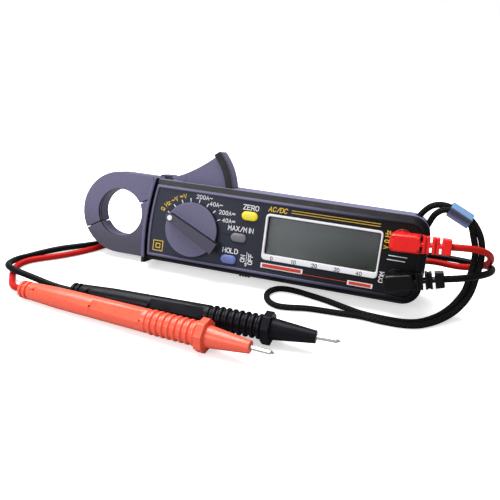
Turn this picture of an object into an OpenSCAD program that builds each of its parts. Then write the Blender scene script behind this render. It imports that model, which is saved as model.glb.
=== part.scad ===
// Hand-held clamp meter with its test leads plugged in and its wrist strap on.
// Millimetres. The meter is drawn in its own frame: X runs along its length with the jaws
// at -X, Y runs from the panel (y = 0) to the back, Z points from the power switch side to
// the trigger side. stand() then leans it back on its rear long edge, on the floor z = 0.

/* [Body] */
// Overall length, jaw tip to cable end
total_l = 184; // [184:1:188]
// Width of the casing across the panel
body_w = 43; // [43:0.5:45]
// Depth of the casing, panel to back
body_d = 29; // [29:0.5:31]
// Depth of the front cover up to the parting line
front_d = 11; // [11:0.5:12]
// Wall thickness of the casing
wall = 2; // [1.6:0.1:2.2]
// Width of the sloping edge around the panel
edge_w = 3.2; // [2.4:0.1:3.4]
// Radius of the two corners at the cable end
corner_r = 9; // [7:0.5:10]
// Angle by which the meter leans back as it stands
lean = 15; // [15:1:15]

/* [Jaws] */
// Outer radius of the closed jaws
jaw_r = 22; // [21.5:0.1:22.2]
// Radius of the conductor hole
hole_r = 12.7; // [11.5:0.1:13]
// Thickness of the jaws
jaw_t = 11; // [10:0.5:11]
// Distance from the panel face back to the jaw face
jaw_y = 8; // [8:0.5:8.5]
// Slope of the line on which the jaws part
split_a = 30; // [28:1:32]
// Angle through which the jaw opens
open_a = 25; // [20:1:25]

/* [Controls] */
// Radius of the range dial
dial_r = 14; // [12:0.5:14.5]
// Angle between two neighbouring dial positions
dial_step = 18; // [15:1:18]
// Length of a push button
button_l = 8.4; // [7:0.1:9]
// Width of a push button
button_w = 4.6; // [4:0.1:5]
// Travel of a push button
button_travel = 0.8; // [0.5:0.1:0.9]
// Travel of the power slider
power_travel = 4; // [3:0.5:4]

/* [Leads] */
// Diameter of a test lead
lead_d = 3.2; // [3:0.1:3.4]
// Diameter of the strap cord
strap_d = 3; // [2.6:0.1:3.2]
// Mean radius of a coiled lead
coil_r = 19; // [18:0.5:19]

/* [Hidden] */
$fn = 48;

// ---- Derived sizes of the meter
half_l = total_l / 2;
half_w = body_w / 2;
neck_slant = tan(3.5);             // the barrier stands a little off square
left_x = -49.7;                    // jaw end of the casing, before it bows out
left_bow = 1.8;                    // how far that end bows out at mid width
jaw_x = jaw_r - half_l;            // centre of the conductor hole
pivot = [-42, 16];                 // jaw pivot, X and Z
lever_r = 33.8;                    // pivot to the outer face of the thumb pad
pad_t = 3.4;
dial_c = [-25, -1.7];
buttons = [[4.5, 9.6], [0, -2.1], [-4, -13.9]];
panel_y = 1.1;                     // floor of the panel recess
plate_y = 2.9;                     // inner face of the front plate
lcd_x = [12.8, 70.8];
lcd_z = [-11, 12.5];
window_x = [14, 69.8];
window_z = [-8.1, 11.2];
jack_x = 79.5;
jack_z = 9.5;
jack_r = 5.3;
jack_bore = 4.2;
screws = [[-35.5, -17], [-2, 17], [68, 17], [68, -17]];
power_x = 6;
power_y = 7.5;
board_y = [4.8, 6.2];
cell_r = 5.2;
cell_l = 44;
cell_y = 18.5;

// ---- Where the meter stands
meter_y = -11.5;
back_bevel = 5;
meter_z = (body_d - back_bevel) * sin(lean) + half_w * cos(lean);
module stand() translate([0, meter_y, meter_z]) rotate([-lean, 0, 0]) children();
function stood(p) = [p[0], meter_y + p[1] * cos(lean) + p[2] * sin(lean),
    meter_z - p[1] * sin(lean) + p[2] * cos(lean)];

// ---- Helpers
// A profile drawn in X and Z, carried from y0 back to y1
module slab(y0, y1) translate([0, y1, 0]) rotate([90, 0, 0]) linear_extrude(y1 - y0) children();
module rod(c, r, y0, y1) slab(y0, y1) translate(c) circle(r);
module box2(x, z) translate([x[0], z[0]]) square([x[1] - x[0], z[1] - z[0]]);
module obround(l, w) {
    square([l - w, w], center = true);
    for (s = [-1, 1]) translate([s * (l - w) / 2, 0]) circle(w / 2, $fn = 32);
}
function arc(c, r, a0, a1, n = 8) =
    [for (i = [0:n]) c + r * [cos(a0 + (a1 - a0) * i / n), sin(a0 + (a1 - a0) * i / n)]];
// A rounded rectangle as one polygon
module rounded(x, z, r) {
    polygon(concat(
        arc([x[1] - r, z[1] - r], r, 90, 0, 5), arc([x[1] - r, z[0] + r], r, 0, -90, 5),
        arc([x[0] + r, z[0] + r], r, -90, -180, 5), arc([x[0] + r, z[1] - r], r, 180, 90, 5)));
}
// The jaw end runs a little off square and bows out; from z0 up to z1, or down when flip is -1
function bowed(x, z0, z1, flip = 1) = [for (i = [0:8]) let (t = (1 + flip * (i / 4 - 1)) / 2,
    z = z0 + (z1 - z0) * t) [x + z * neck_slant - left_bow * (1 - pow(z / half_w, 2)), z]];
// Outline of the casing, drawn in by inset all round
module casing(inset) {
    w = half_w - inset;
    r = max(corner_r - inset, 1);
    x1 = half_l - inset;
    polygon(concat(arc([x1 - r, w - r], r, 90, 0), arc([x1 - r, r - w], r, 0, -90),
        bowed(left_x + inset, -w, w)));
}

// ---- Barrier between the jaws and the hand
module barrier(y0, y1, low) slab(y0, y1)
    polygon(concat(bowed(-50.2, -low, 21.8), bowed(-48.5, -low, 21.8, -1)));
module neck(y0, y1) slab(y0, y1)
    polygon([for (p = [[-52.6, -20.8], [-46, -20.8], [-46, 20.6], [-52.6, 20.6]])
        [p[0] + p[1] * neck_slant, p[1]]]);
// Height of the thumb pad's lower end once the lever is pressed in by an angle
function pad_low(a) = pivot[1] + lever_r * sin(4 - a);
// Room for the fixed jaw's tongue, and for the moving jaw and its lever
module jaw_passages() {
    slab(jaw_y - 0.1, jaw_y + jaw_t + 0.1) box2([-60, -40], [-19.4, 6]);
    slab(jaw_y - 0.5, jaw_y + jaw_t + 0.5) box2([-62, -34], [5, 30]);
    slab(6, 21) box2([-36, pivot[0] + lever_r + 0.4], [pad_low(open_a) + 1.5, 30]);
}
module strap_holes() for (p = [[84.6, 19.9], [89.2, 15.9]])
    translate([p[0] - 2.5, front_d, p[1] - 2.5]) rotate([0, 45, 0]) rotate(30) cylinder(r = 1.8, h = 8);

// ---- Casing
module front_cover() color("#4b4a60") stand() {
    difference() {
        union() {
            hull() {
                slab(0, 0.01) casing(edge_w);
                slab(edge_w, front_d) casing(0);
            }
            barrier(-0.4, front_d, half_w + 1.6);
            neck(4, front_d);
        }
        slab(-1, panel_y) casing(edge_w + 1);
        difference() {
            slab(plate_y, front_d + 1) casing(wall);
            for (p = screws) rod(p, 2.7, plate_y, front_d + 1);
            rod([jack_x, jack_z], jack_r + 1.3, plate_y, front_d + 1);
            rod([jack_x, -jack_z], jack_r + 1.3, plate_y, front_d + 1);
            rod(pivot, 3.6, plate_y, jaw_y - 0.4);
        }
        jaw_passages();
        rod(pivot, 1.55, 5, front_d);
        rod(dial_c, 5.4, 0, plate_y + 1);
        for (p = buttons) slab(0, plate_y + 1) translate(p) obround(button_l + 0.5, button_w + 0.5);
        slab(0, plate_y + 1) rounded(lcd_x, lcd_z, 2);
        for (s = [-1, 1]) rod([jack_x, s * jack_z], jack_r + 0.02, -1, front_d + 1);
        for (p = screws) rod(p, 1.2, 5, front_d + 1);
        power_slot();
        strap_holes();
    }
}
module power_slot() translate([power_x - 5.2, power_y - 1.8, -half_w - 1])
    cube([10.4, 3.6, wall + 1.5]);

module rear_cover() color("#454458") stand() {
    difference() {
        union() {
            hull() {
                slab(front_d + 0.02, body_d - back_bevel) casing(0);
                slab(body_d - 1.4, body_d - 1) casing(2.6);
                slab(body_d - 0.01, body_d) casing(back_bevel);
            }
            barrier(front_d + 0.02, 16, half_w + 1.6);
            neck(front_d + 0.02, 24);
        }
        difference() {
            slab(front_d - 1, body_d - back_bevel) casing(wall);
            for (p = screws) rod(p, 3.4, front_d + 0.02, body_d);
            rod(pivot, 3.6, jaw_y + jaw_t + 3.2, body_d);
            slab(22.8, body_d) box2([2, 62], [-14.5, 14.5]);
        }
        slab(front_d - 1, body_d - wall) casing(7);
        slab(14, body_d - wall) box2([3.5, 60.5], [-13, 13]);
        slab(body_d - wall - 0.1, body_d + 1) box2([3.5, 60.5], [-13, 13]);
        jaw_passages();
        rod(pivot, 1.55, 12, 25);
        rod(pivot, 3.5, 18, jaw_y + jaw_t + 3);
        for (p = screws) {
            rod(p, 1.6, front_d - 1, body_d + 1);
            rod(p, 3, body_d - 9, body_d + 1);
        }
        strap_holes();
    }
    difference() {
        slab(21, body_d - wall) box2([56, 60.6], [-2.6, 2.6]);
        rod([58, 0], 1.45, 20, body_d);
    }
}
module battery_door() color("#454458") stand() difference() {
    slab(body_d - wall, body_d) rounded([3.7, 60.3], [-12.8, 12.8], 0.6);
    rod([58, 0], 1.5, 20, body_d + 1);
    rod([58, 0], 2.1, body_d - 1.8, body_d + 1);
    for (i = [0:4]) slab(body_d - 0.6, body_d + 1)
        translate([10 + 2.2 * i, 0]) square([1, 12], center = true);
}
module screw(p, head_y, l, r, head_r) {
    difference() {
        rod(p, head_r, head_y - 1.6, head_y);
        slab(head_y - 0.8, head_y + 1) translate(p) {
            square([head_r * 1.3, 0.8], center = true);
            square([0.8, head_r * 1.3], center = true);
        }
    }
    rod(p, r, head_y - l, head_y - 1.6);
}
module battery_screw() color("silver") stand() screw([58, 0], body_d - 0.1, 6, 1.4, 2);
module case_screws() color("silver") stand()
    for (p = screws) screw(p, body_d - 9.2 + 1.8, body_d - 15.4, 1.15, 2.8);

// ---- Panel
module panel_overlay() color("#1d2333") stand() difference() {
    slab(panel_y - 0.4, panel_y) casing(edge_w + 1.1);
    rod(dial_c, 5.6, 0, 2);
    for (p = buttons) slab(0, 2) translate(p) obround(button_l + 0.7, button_w + 0.7);
    slab(0, 2) rounded(lcd_x, lcd_z, 2);
    for (s = [-1, 1]) rod([jack_x, s * jack_z], jack_r + 0.2, 0, 2);
}
module display_bezel() color("white") stand() difference() {
    slab(0.3, 3) rounded(lcd_x + [0.1, -0.1], lcd_z + [0.1, -0.1], 1.9);
    slab(0, 4) rounded(window_x, window_z, 1);
}
module display_window() color("lightgrey", 0.4) stand()
    slab(1.8, 2.6) rounded(window_x + [0.05, -0.05], window_z + [0.05, -0.05], 0.95);
module lcd_panel() color("#5b6059") stand()
    slab(3.05, 4.2) box2([12.6, 71], [-9, 12]);
module lcd_holder() color("#d8d8d0") stand() difference() {
    slab(3, board_y[0]) box2([11.2, 72.4], [-12.4, 14]);
    slab(2, 4.3) box2([12.5, 71.1], [-9.1, 12.1]);
    slab(2, 6) box2([16, 68], [-6, 9]);
}

// ---- Electronics
module circuit_board() color("#1f6b3a") stand() difference() {
    slab(board_y[0], board_y[1]) union() {
        box2([-36, 72], [-12.4, 4.6]);
        box2([-4, 72], [-13.8, 13.8]);
    }
    rod(dial_c, 3.4, 4, 8);
}
module button_mat() color("#8a8a88") stand() difference() {
    slab(2.5 + button_travel, board_y[0]) box2([-9.2, 9.8], [-16.8, 13]);
    for (p = buttons) rod(p, 1.6, 2, 6);
}
module buzzer() color("#202020") stand() difference() {
    rod([24, 0], 4.5, board_y[1], board_y[1] + 4);
    rod([24, 0], 1, board_y[1] + 3, board_y[1] + 5);
}
module cell(z, flip) translate([32, cell_y, z]) rotate([0, flip ? -90 : 90, 0]) {
    translate([0, 0, -cell_l / 2]) cylinder(r = cell_r, h = cell_l - 1.2);
    translate([0, 0, cell_l / 2 - 1.2]) cylinder(r = 1.9, h = 1.2);
}
module battery_a() color("#3f6f4a") stand() cell(5.6, false);
module battery_b() color("#3f6f4a") stand() cell(-5.6, true);
// Plate at each end of the two cells
module battery_contacts() color("silver") stand()
    for (x = [8.6, 54.4]) translate([x, cell_y - 4, -10]) cube([0.8, 8, 20]);

// ---- Power switch on the lower side
module power_switch() color("#303030") stand() difference() {
    translate([power_x - 6.5, power_y - 2.4, -half_w + wall]) cube([13, 5.4, 4]);
    translate([power_x - 4.4, power_y - 1.2, -half_w]) cube([8.8, 2.4, 4]);
}
module power_slider() color("#262730") stand() {
    translate([power_x - power_travel / 2 - 2, power_y - 1, -half_w - 0.3]) cube([4, 2, 4]);
    difference() {
        translate([power_x - power_travel / 2 - 2.8, power_y - 1.5, -half_w - 1.2]) cube([5.6, 3, 2.6]);
        for (i = [-1:1]) translate([power_x - power_travel / 2 + i * 1.5 - 0.3, power_y - 2,
            -half_w - 1.3]) cube([0.6, 4, 0.5]);
    }
}

// ---- Strap anchor inside the corner
module strap_post() color("silver") stand() rod([85, 15.4], 1, plate_y, 16);

// ---- Jaws
module half_plane(side) translate([jaw_x, 0]) rotate(split_a)
    translate([-60, side > 0 ? 0.25 : -60.25]) square([120, 60]);
module fixed_profile() intersection() {
    difference() {
        union() {
            translate([jaw_x, 0]) circle(jaw_r, $fn = 96);
            box2([jaw_x, -54.8], [-jaw_r, 4]);
            box2([-58, -40.5], [-19.2, 4.6]);
        }
        translate([jaw_x, 0]) circle(hole_r, $fn = 96);
    }
    half_plane(-1);
}
module core_profile() translate([jaw_x, 0]) difference() {
    circle(20, $fn = 96);
    circle(14.8, $fn = 96);
}
module fixed_jaw() color("#4b4a60") stand() difference() {
    slab(jaw_y, jaw_y + jaw_t) fixed_profile();
    slab(jaw_y + 2.4, jaw_y + jaw_t - 2.4) intersection() {
        core_profile();
        half_plane(-1);
    }
}
module fixed_core() color("#6d6a66") stand() slab(jaw_y + 2.5, jaw_y + jaw_t - 2.5)
    difference() {
        intersection() {
            translate([jaw_x, 0]) difference() {
                circle(19.9, $fn = 96);
                circle(14.9, $fn = 96);
            }
            half_plane(-1);
        }
        hall_slot();
    }
module hall_slot() translate([jaw_x, 0]) rotate(-100) translate([14, -1]) square([7, 2]);
module hall_sensor() color("#202020") stand() slab(jaw_y + 3.2, jaw_y + jaw_t - 3.2)
    translate([jaw_x, 0]) rotate(-100) translate([15.4, -0.8]) square([4, 1.6]);

// A smooth dip from p0 to p1, pulled towards c
function bend(p0, c, p1, n = 8) =
    [for (i = [0:n]) let (t = i / n) p0 * (1 - t) * (1 - t) + 2 * c * t * (1 - t) + p1 * t * t];
pad_top_a = 43.4;
module arm_profile() difference() {
    union() {
        intersection() {
            union() {
                translate([jaw_x, 0]) circle(jaw_r, $fn = 96);
                polygon([[jaw_x, 0], [jaw_x, jaw_r], [-49, 22], [-46, 22.6], [-43, 10.2], [-54, 9.2]]);
            }
            half_plane(1);
        }
        translate(pivot) circle(5.6);
    }
    translate([jaw_x, 0]) circle(hole_r, $fn = 96);
}
module lever_profile() polygon(concat(
    [[-47, 22.4]], bend([-42, 22.9], [-31, 26.6], pivot + (lever_r - 2) * [cos(pad_top_a - 1), sin(pad_top_a - 1)]),
    arc(pivot, lever_r - 2, pad_top_a - 4, 5), [[-36, 13]]));
module pad_profile() polygon(concat(
    arc(pivot, lever_r, pad_top_a, 4, 14), arc(pivot, lever_r - pad_t, 4, pad_top_a + 0.5, 14)));
module jaw_lever() color("#4b4a60") stand() difference() {
    union() {
        slab(jaw_y, jaw_y + jaw_t) arm_profile();
        slab(jaw_y + 2, jaw_y + jaw_t - 2) lever_profile();
        slab(jaw_y - 1, jaw_y + jaw_t + 1) pad_profile();
        slab(jaw_y + 1, jaw_y + jaw_t - 1)
            polygon([[-49, 21.5], [-49, 22.9], [-48.4, 23.5], [-43, 23.7], [-42, 22], [-44, 20]]);
    }
    rod(pivot, 1.55, 0, 30);
    slab(jaw_y + 2.4, jaw_y + jaw_t - 2.4) intersection() {
        core_profile();
        half_plane(1);
    }
}
module moving_core() color("#6d6a66") stand() slab(jaw_y + 2.5, jaw_y + jaw_t - 2.5)
    intersection() {
        translate([jaw_x, 0]) difference() {
            circle(19.9, $fn = 96);
            circle(14.9, $fn = 96);
        }
        half_plane(1);
    }
module pivot_pin() color("silver") stand() rod(pivot, 1.5, 5.2, 24.8);
// Torsion spring round the pivot, with one leg under the lever
module return_spring() color("silver") stand() {
    difference() {
        rod(pivot, 3.2, jaw_y + jaw_t + 0.3, jaw_y + jaw_t + 2.7);
        rod(pivot, 2.2, jaw_y + jaw_t, jaw_y + jaw_t + 3);
    }
    slab(jaw_y + jaw_t + 0.3, jaw_y + jaw_t + 1.1) translate(pivot) rotate(-8)
        translate([0, -3.1]) square([13.6, 0.8]);
}

// ---- Range dial
dial_rest = 153;
module dial_bar() polygon([[-13, -2], [-14.2, 0], [-13, 2], [16.3, 3.1], [16.3, -3.1]]);
module range_dial() color("#54526b") stand() translate([dial_c[0], 0, dial_c[1]])
    rotate([0, -(dial_rest - 180), 0]) {
        slab(-2, 0.4) circle(dial_r, $fn = 96);
        slab(-6.4, -2) dial_bar();
    }
module dial_pointer() color("white") stand() translate([dial_c[0], 0, dial_c[1]])
    rotate([0, -(dial_rest - 180), 0]) rod([-11.4, 0], 1.3, -6.75, -6.4);
module dial_hub() color("#54526b") stand() rod(dial_c, 3, 0.4, 8.2);
module wiper_disc() color("#c9a24a") stand() difference() {
    rod(dial_c, 8.6, board_y[1] + 0.3, board_y[1] + 1.9);
    rod(dial_c, 3, 5, 10);
    for (i = [0:19]) rod(dial_c + 8.6 * [cos(i * dial_step), sin(i * dial_step)], 0.8, 5, 10);
}
detent_c = dial_c + 9.6 * [0, -1];
module detent_ball() color("silver") stand()
    translate([detent_c[0], board_y[1] + 1.1, detent_c[1] + 0.1]) sphere(0.75, $fn = 24);
module detent_spring() color("silver") stand() slab(board_y[1] + 0.2, board_y[1] + 2)
    translate(detent_c + [-5, -1.2]) square([10, 0.4]);

// ---- Push buttons
module button(p) slab(-0.3, 2.2) translate(p) obround(button_l, button_w);
module button_stem(p) rod(p, 1.4, 2.2, 3.8);
module zero_button() color("#f0d820") stand() { button(buttons[0]); button_stem(buttons[0]); }
module minmax_button() color("#7c7f86") stand() { button(buttons[1]); button_stem(buttons[1]); }
module hold_button() color("#5a70b8") stand() { button(buttons[2]); button_stem(buttons[2]); }

// ---- Input sockets
module socket(z) difference() {
    rod([jack_x, z], jack_r, -0.5, 13.5);
    rod([jack_x, z], jack_bore, -1, 12);
}
module red_socket() color("#a02020") stand() socket(jack_z);
module black_socket() color("#151515") stand() socket(-jack_z);
module socket_contacts() color("gold") stand() for (s = [-1, 1]) difference() {
    rod([jack_x, s * jack_z], 1.7, 4, 12);
    rod([jack_x, s * jack_z], 1.2, 3, 13);
}

// ---- Right-angle plugs
plug_y = -7.3;                     // axis of the cable in front of the panel
plug_l = 8.4;                      // jack axis to the start of the strain relief
relief_l = 13.6;
notch_step = 4.3;
module plug_at(z, turn) stand() translate([jack_x, 0, z]) rotate([0, -turn, 0]) children();
module plug_body() difference() {
    union() {
        hull() {
            slab(-11.2, -2) rounded([-5.4, plug_l], [-4.2, 4.2], 2.4);
            slab(-12.4, -2) rounded([-4.5, plug_l], [-3.3, 3.3], 1.6);
        }
        rod([0, 0], 4, -2.1, 11);
        slab(plug_y - 3.7, plug_y + 3.7) polygon([[plug_l - 3, -4.2], [plug_l - 3, 4.2],
            [plug_l + relief_l, 3.5], [plug_l + relief_l, -3.5]]);
    }
    rod([0, 0], 2.2, 1, 12);
    for (i = [0:2], s = [-1, 1]) translate([plug_l - 0.2 + notch_step * i, plug_y - 6, s * 3.4 - 2.5])
        cube([1.1, 12, 5]);
    for (i = [0:1], s = [-1, 1]) translate([plug_l + 2.1 + notch_step * i, plug_y + s * 4.4 - 2.5, -5])
        cube([0.8, 5, 10]);
    translate([plug_l + relief_l - 4, plug_y, 0]) rotate([0, 90, 0]) cylinder(r = lead_d / 2, h = 5);
}
module plug_pin() rod([0, 0], 1.15, -1, 10.6);
module red_plug() color("#e8281c") plug_at(jack_z, 3) difference() { plug_body(); plug_pin(); }
module black_plug() color("#161616") plug_at(-jack_z, 14) difference() { plug_body(); plug_pin(); }
module red_pin() color("silver") plug_at(jack_z, 3) plug_pin();
module black_pin() color("silver") plug_at(-jack_z, 14) plug_pin();

// ---- Probes, drawn along +X with the finger guard at the origin
guard_r = 7.6;
tail_x = -97.6;
tail_r = 4.2;
probe_tilt = asin((guard_r * cos(22.5) - tail_r) / -tail_x);
function probe_outline() = concat(
    [[0, tail_x], [3.5, tail_x], [tail_r, tail_x + 0.8], [tail_r, tail_x + 2]],
    [for (i = [0:1]) each [[3.3, tail_x + 2 + 2.6 * i], [3.3, tail_x + 3.2 + 2.6 * i],
        [tail_r + 0.1, tail_x + 3.2 + 2.6 * i], [tail_r + 0.1, tail_x + 4.6 + 2.6 * i]]],
    [[4.9, -76], [5.3, -27]],
    [for (i = [0:7]) each [[4.7, -26.6 + 3 * i], [4.7, -25.6 + 3 * i],
        [5.6, -25.2 + 3 * i], [5.6, -24 + 3 * i]]],
    [[4.9, -2.4], [4.9, 2], [2.9, 20.6], [2.9, 21.4], [0, 21.4]]);
module probe_body() difference() {
    union() {
        rotate([0, 90, 0]) rotate_extrude() polygon(probe_outline());
        translate([-1.8, 0, 0]) rotate([0, 90, 0]) rotate(22.5) cylinder(r = guard_r, h = 3.6, $fn = 8);
    }
    translate([tail_x - 1, 0, 0]) rotate([0, 90, 0]) cylinder(r = lead_d / 2, h = 7);
    rotate([45, 0, 0]) {
        translate([-55, -4, 4.65]) cube([25.5, 8, 2]);
        translate([-88, 0, 3]) cylinder(r = 0.55, h = 3);
    }
    translate([8, 0, 0]) rotate([0, 90, 0]) cylinder(r = 1, h = 15);
}
module probe_tip() rotate([0, 90, 0]) rotate_extrude()
    polygon([[0, 8], [1, 8], [1, 30], [0.25, 31.8], [0, 31.8]]);
module probe_at(p, turn) translate([p[0], p[1], guard_r * cos(22.5) + 0.06]) rotate([0, 0, turn])
    rotate([0, -probe_tilt, 0]) children();
module red_place() probe_at([6.5, -77.1], -6.9) children();
module black_place() probe_at([30.3, -61.4], -1.7) children();
module red_probe() color("#f0503c") red_place() probe_body();
module red_tip() color("silver") red_place() probe_tip();
module black_probe() color("#1b1b1f") black_place() probe_body();
module black_tip() color("silver") black_place() probe_tip();

// ---- Cords: routes as points on the floor and in the air
red_out = [[97.5, -15.8, 39], [101.5, -15.8, 39.2], [106, -15.5, 39.5], [111, -14.1, 39.2],
    [117, -10.3, 37], [120.3, -4.5, 32.4], [120.6, 2, 26.8], [117.4, 8, 21.8],
    [111.2, 13.3, 18], [105, 17.1, 16.2], [98, 20.5, 15.2], [90.5, 24, 13], [82, 28.5, 9.2],
    [71, 34.5, 5], [58, 39, 2.4], [42, 41.3, 1.6], [24, 42.7, 1.6], [9, 45.5, 1.6], [-5, 47.9, 1.6]];
red_in = [[-7, 47.9, 8], [-20, 48.7, 6], [-32, 46.5, 3.4], [-43, 41, 1.7], [-54, 31.5, 1.6],
    [-64, 20, 1.6], [-73, 11, 1.6], [-80, 4.5, 1.6], [-84.3, -4.1, 1.6], [-90, -12.9, 1.6],
    [-97, -21.1, 1.6], [-104, -27.7, 1.6], [-109.2, -33.1, 1.6], [-111, -39.5, 1.6],
    [-109, -46.5, 1.6], [-104.6, -53.5, 1.7], [-99.6, -60.5, 2.4], [-94.6, -64.5, 3.6],
    [-90.4, -65.4, 4.2], [-85.4, -66, 4.3]];
black_out = [[97, -19.9, 23.9], [100.8, -19.6, 24.8], [106, -19.3, 25.8], [111, -17.7, 26.6],
    [116.4, -14.1, 27], [120.8, -8.8, 26.8], [122.2, -2.6, 25.9], [122.2, 4.2, 23.9],
    [120.2, 10.9, 21.6], [113.8, 16.3, 19.8], [105.5, 20.8, 18.3], [98, 24.4, 16.6],
    [91.6, 28.8, 14.9], [86.6, 35.2, 12.8], [82.5, 45.2, 10], [79, 57.2, 7.2],
    [73.5, 71.5, 4.6], [64.5, 83.5, 2.8], [54.5, 88.3, 1.8], [43, 89.1, 1.6]];
black_in = [[45, 89.1, 8], [32, 90.1, 6.4], [18, 92.9, 3.4], [4, 94.5, 1.6], [-14, 93, 1.6],
    [-32, 85.5, 1.6], [-46, 70.5, 1.6], [-54, 51.5, 1.6], [-62, 33.5, 1.6], [-71, 19, 1.6],
    [-80, 9, 1.6], [-88.1, -0.1, 1.6], [-95, -6.5, 1.6], [-101.5, -12.3, 1.6],
    [-107.2, -19.5, 1.6], [-112, -27.5, 1.6], [-115.1, -35, 2.2], [-111.7, -46.9, 4.8],
    [-104.8, -51.4, 5.3], [-97, -53, 4.9], [-88.8, -54.9, 4.6], [-81.5, -56.7, 4.4],
    [-74.2, -58, 4.3], [-67.3, -58.4, 4.3], [-62.3, -58.6, 4.4]];

// The wrist strap is one cord, folded double through the slider
slider_c = [103.5, -0.1, 49.4];
slider_run = unit([0.905, -0.08, -0.42]);
strap_gap = 1.5;                   // middle of the pair to either cord
strap_mid = [slider_c - 6 * slider_run, slider_c, slider_c + 6 * slider_run,
    [112.4, -0.9, 41], [114.6, -0.7, 34.5], [115.2, -1.1, 28], [114.6, -2.1, 20.5],
    [113.4, -3.9, 12.5], [109.4, -7.5, 6], [104.3, -12.7, 2.8], [98.6, -18.5, 1.7],
    [92.5, -23.3, 1.5], [85.5, -25.5, 1.5], [76, -25.7, 1.5], [66, -24.7, 1.5]];
strap_loop = [[58, -26.9, 1.5], [50, -27.4, 1.5], [40.5, -28.3, 1.5], [32, -30.7, 1.5],
    [25.6, -30.9, 1.5], [20.6, -26.5, 1.5], [19.2, -19.5, 1.5], [23.2, -13.5, 1.5],
    [31, -12.7, 1.5], [40, -14.7, 1.5], [49, -17.1, 1.5], [58, -20.5, 1.5]];
strap_up = [stood([83.7, front_d, 19]), stood([85.2, front_d, 20.5]), [87.4, 4.4, 47.6],
    [90.4, 3.3, 50.9], [93.8, 2.4, 52.4]];
strap_down = [[94.8, -0.6, 50.6], [92.4, 1, 47.8], [91, 2.9, 44],
    stood([89.8, front_d, 16.5]), stood([88.3, front_d, 15])];

function unit(v) = v / norm(v);
function tangents(p) = [for (i = [0:len(p) - 1])
    unit(p[min(i + 1, len(p) - 1)] - p[max(i - 1, 0)])];
function normals(t) = [for (i = 0, n = unit(cross(t[0], [0.3, 0.2, 1])); i < len(t);
    i = i + 1, n = i < len(t) ? unit(n - (n * t[i]) * t[i]) : n) n];
module tube(p, d) {
    t = tangents(p);
    u = normals(t);
    m = 8;
    last = len(p) - 1;
    polyhedron(
        [for (i = [0:last], j = [0:m - 1]) p[i] + d / 2 * (u[i] * cos(360 * j / m)
            + cross(t[i], u[i]) * sin(360 * j / m))],
        concat([[for (j = [0:m - 1]) j]], [[for (j = [0:m - 1]) last * m + m - 1 - j]],
            [for (i = [0:last - 1], j = [0:m - 1]) [i * m + j, (i + 1) * m + j,
                (i + 1) * m + (j + 1) % m, i * m + (j + 1) % m]]));
}
function reversed(p) = [for (i = [len(p) - 1:-1:0]) p[i]];
// Across the pair: level on the floor and in the slider, in the plane of the arch between
function across(t, z) = let (h = min(max((z - 2) / 12, 0), max((47 - z) / 6, 0.15), 1))
    unit(cross(t, [0, -h, 1 - h]));
function strap_side(s) = let (t = tangents(strap_mid))
    [for (i = [0:len(strap_mid) - 1]) strap_mid[i] + s * strap_gap * across(t[i], strap_mid[i][2])];
strap_route = concat(strap_up, strap_side(-1), strap_loop, reversed(strap_side(1)), strap_down);

// Outer shape of five turns, two side by side and three high
module coil(c) translate([c[0], c[1], 0]) rotate_extrude($fn = 96)
    translate([coil_r - lead_d, 0]) square([2 * lead_d, 3 * lead_d]);
// A clip over the bundle, open at the floor
module tie(c, turn) translate([c[0], c[1], 0]) rotate(turn) translate([coil_r, -1.5, 0])
    difference() {
        translate([-lead_d - 0.9, 0, 0]) cube([2 * lead_d + 1.8, 3, 3 * lead_d + 0.9]);
        translate([-lead_d - 0.1, -1, -1]) cube([2 * lead_d + 0.2, 5, 3 * lead_d + 1.1]);
    }
red_coil_c = [-6, 68.5];
black_coil_c = [44, 68.5];
module red_lead_out() color("#d83020") tube(red_out, lead_d);
module red_lead_in() color("#d83020") tube(red_in, lead_d);
module red_coil() color("#d83020") coil(red_coil_c);
module red_tie() color("#202020") tie(red_coil_c, 60);
module black_lead_out() color("#1a1a1c") tube(black_out, lead_d);
module black_lead_in() color("#1a1a1c") tube(black_in, lead_d);
module black_coil() color("#1a1a1c") coil(black_coil_c);
module black_tie() color("#202020") tie(black_coil_c, -60);
module strap() color("#101012") tube(strap_route, strap_d);
module strap_slider() color("#5a8cd0") translate(slider_c)
    rotate([0, atan2(-slider_run[2], slider_run[0]), 0]) rotate([10, 0, -5]) difference() {
        translate([-5.6, -3.9, -2.3]) cube([11.2, 7.8, 4.6]);
        translate([-6, -3.3, -1.7]) cube([12, 6.6, 3.4]);
    }

front_cover();
rear_cover();
panel_overlay();
display_bezel();
display_window();
lcd_panel();
lcd_holder();
circuit_board();
button_mat();
buzzer();
battery_a();
battery_b();
battery_contacts();
battery_door();
battery_screw();
case_screws();
strap_post();
fixed_jaw();
fixed_core();
hall_sensor();
pivot_pin();
return_spring();
jaw_lever();
moving_core();
range_dial();
dial_pointer();
dial_hub();
wiper_disc();
detent_ball();
detent_spring();
zero_button();
minmax_button();
hold_button();
power_switch();
power_slider();
red_socket();
black_socket();
socket_contacts();
red_plug();
red_pin();
red_lead_out();
red_coil();
red_tie();
red_lead_in();
black_plug();
black_pin();
black_lead_out();
black_coil();
black_tie();
black_lead_in();
red_probe();
red_tip();
black_probe();
black_tip();
strap();
strap_slider();
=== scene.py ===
import math

import bmesh
import bpy
import numpy as np
from mathutils import Matrix, Vector


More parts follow.
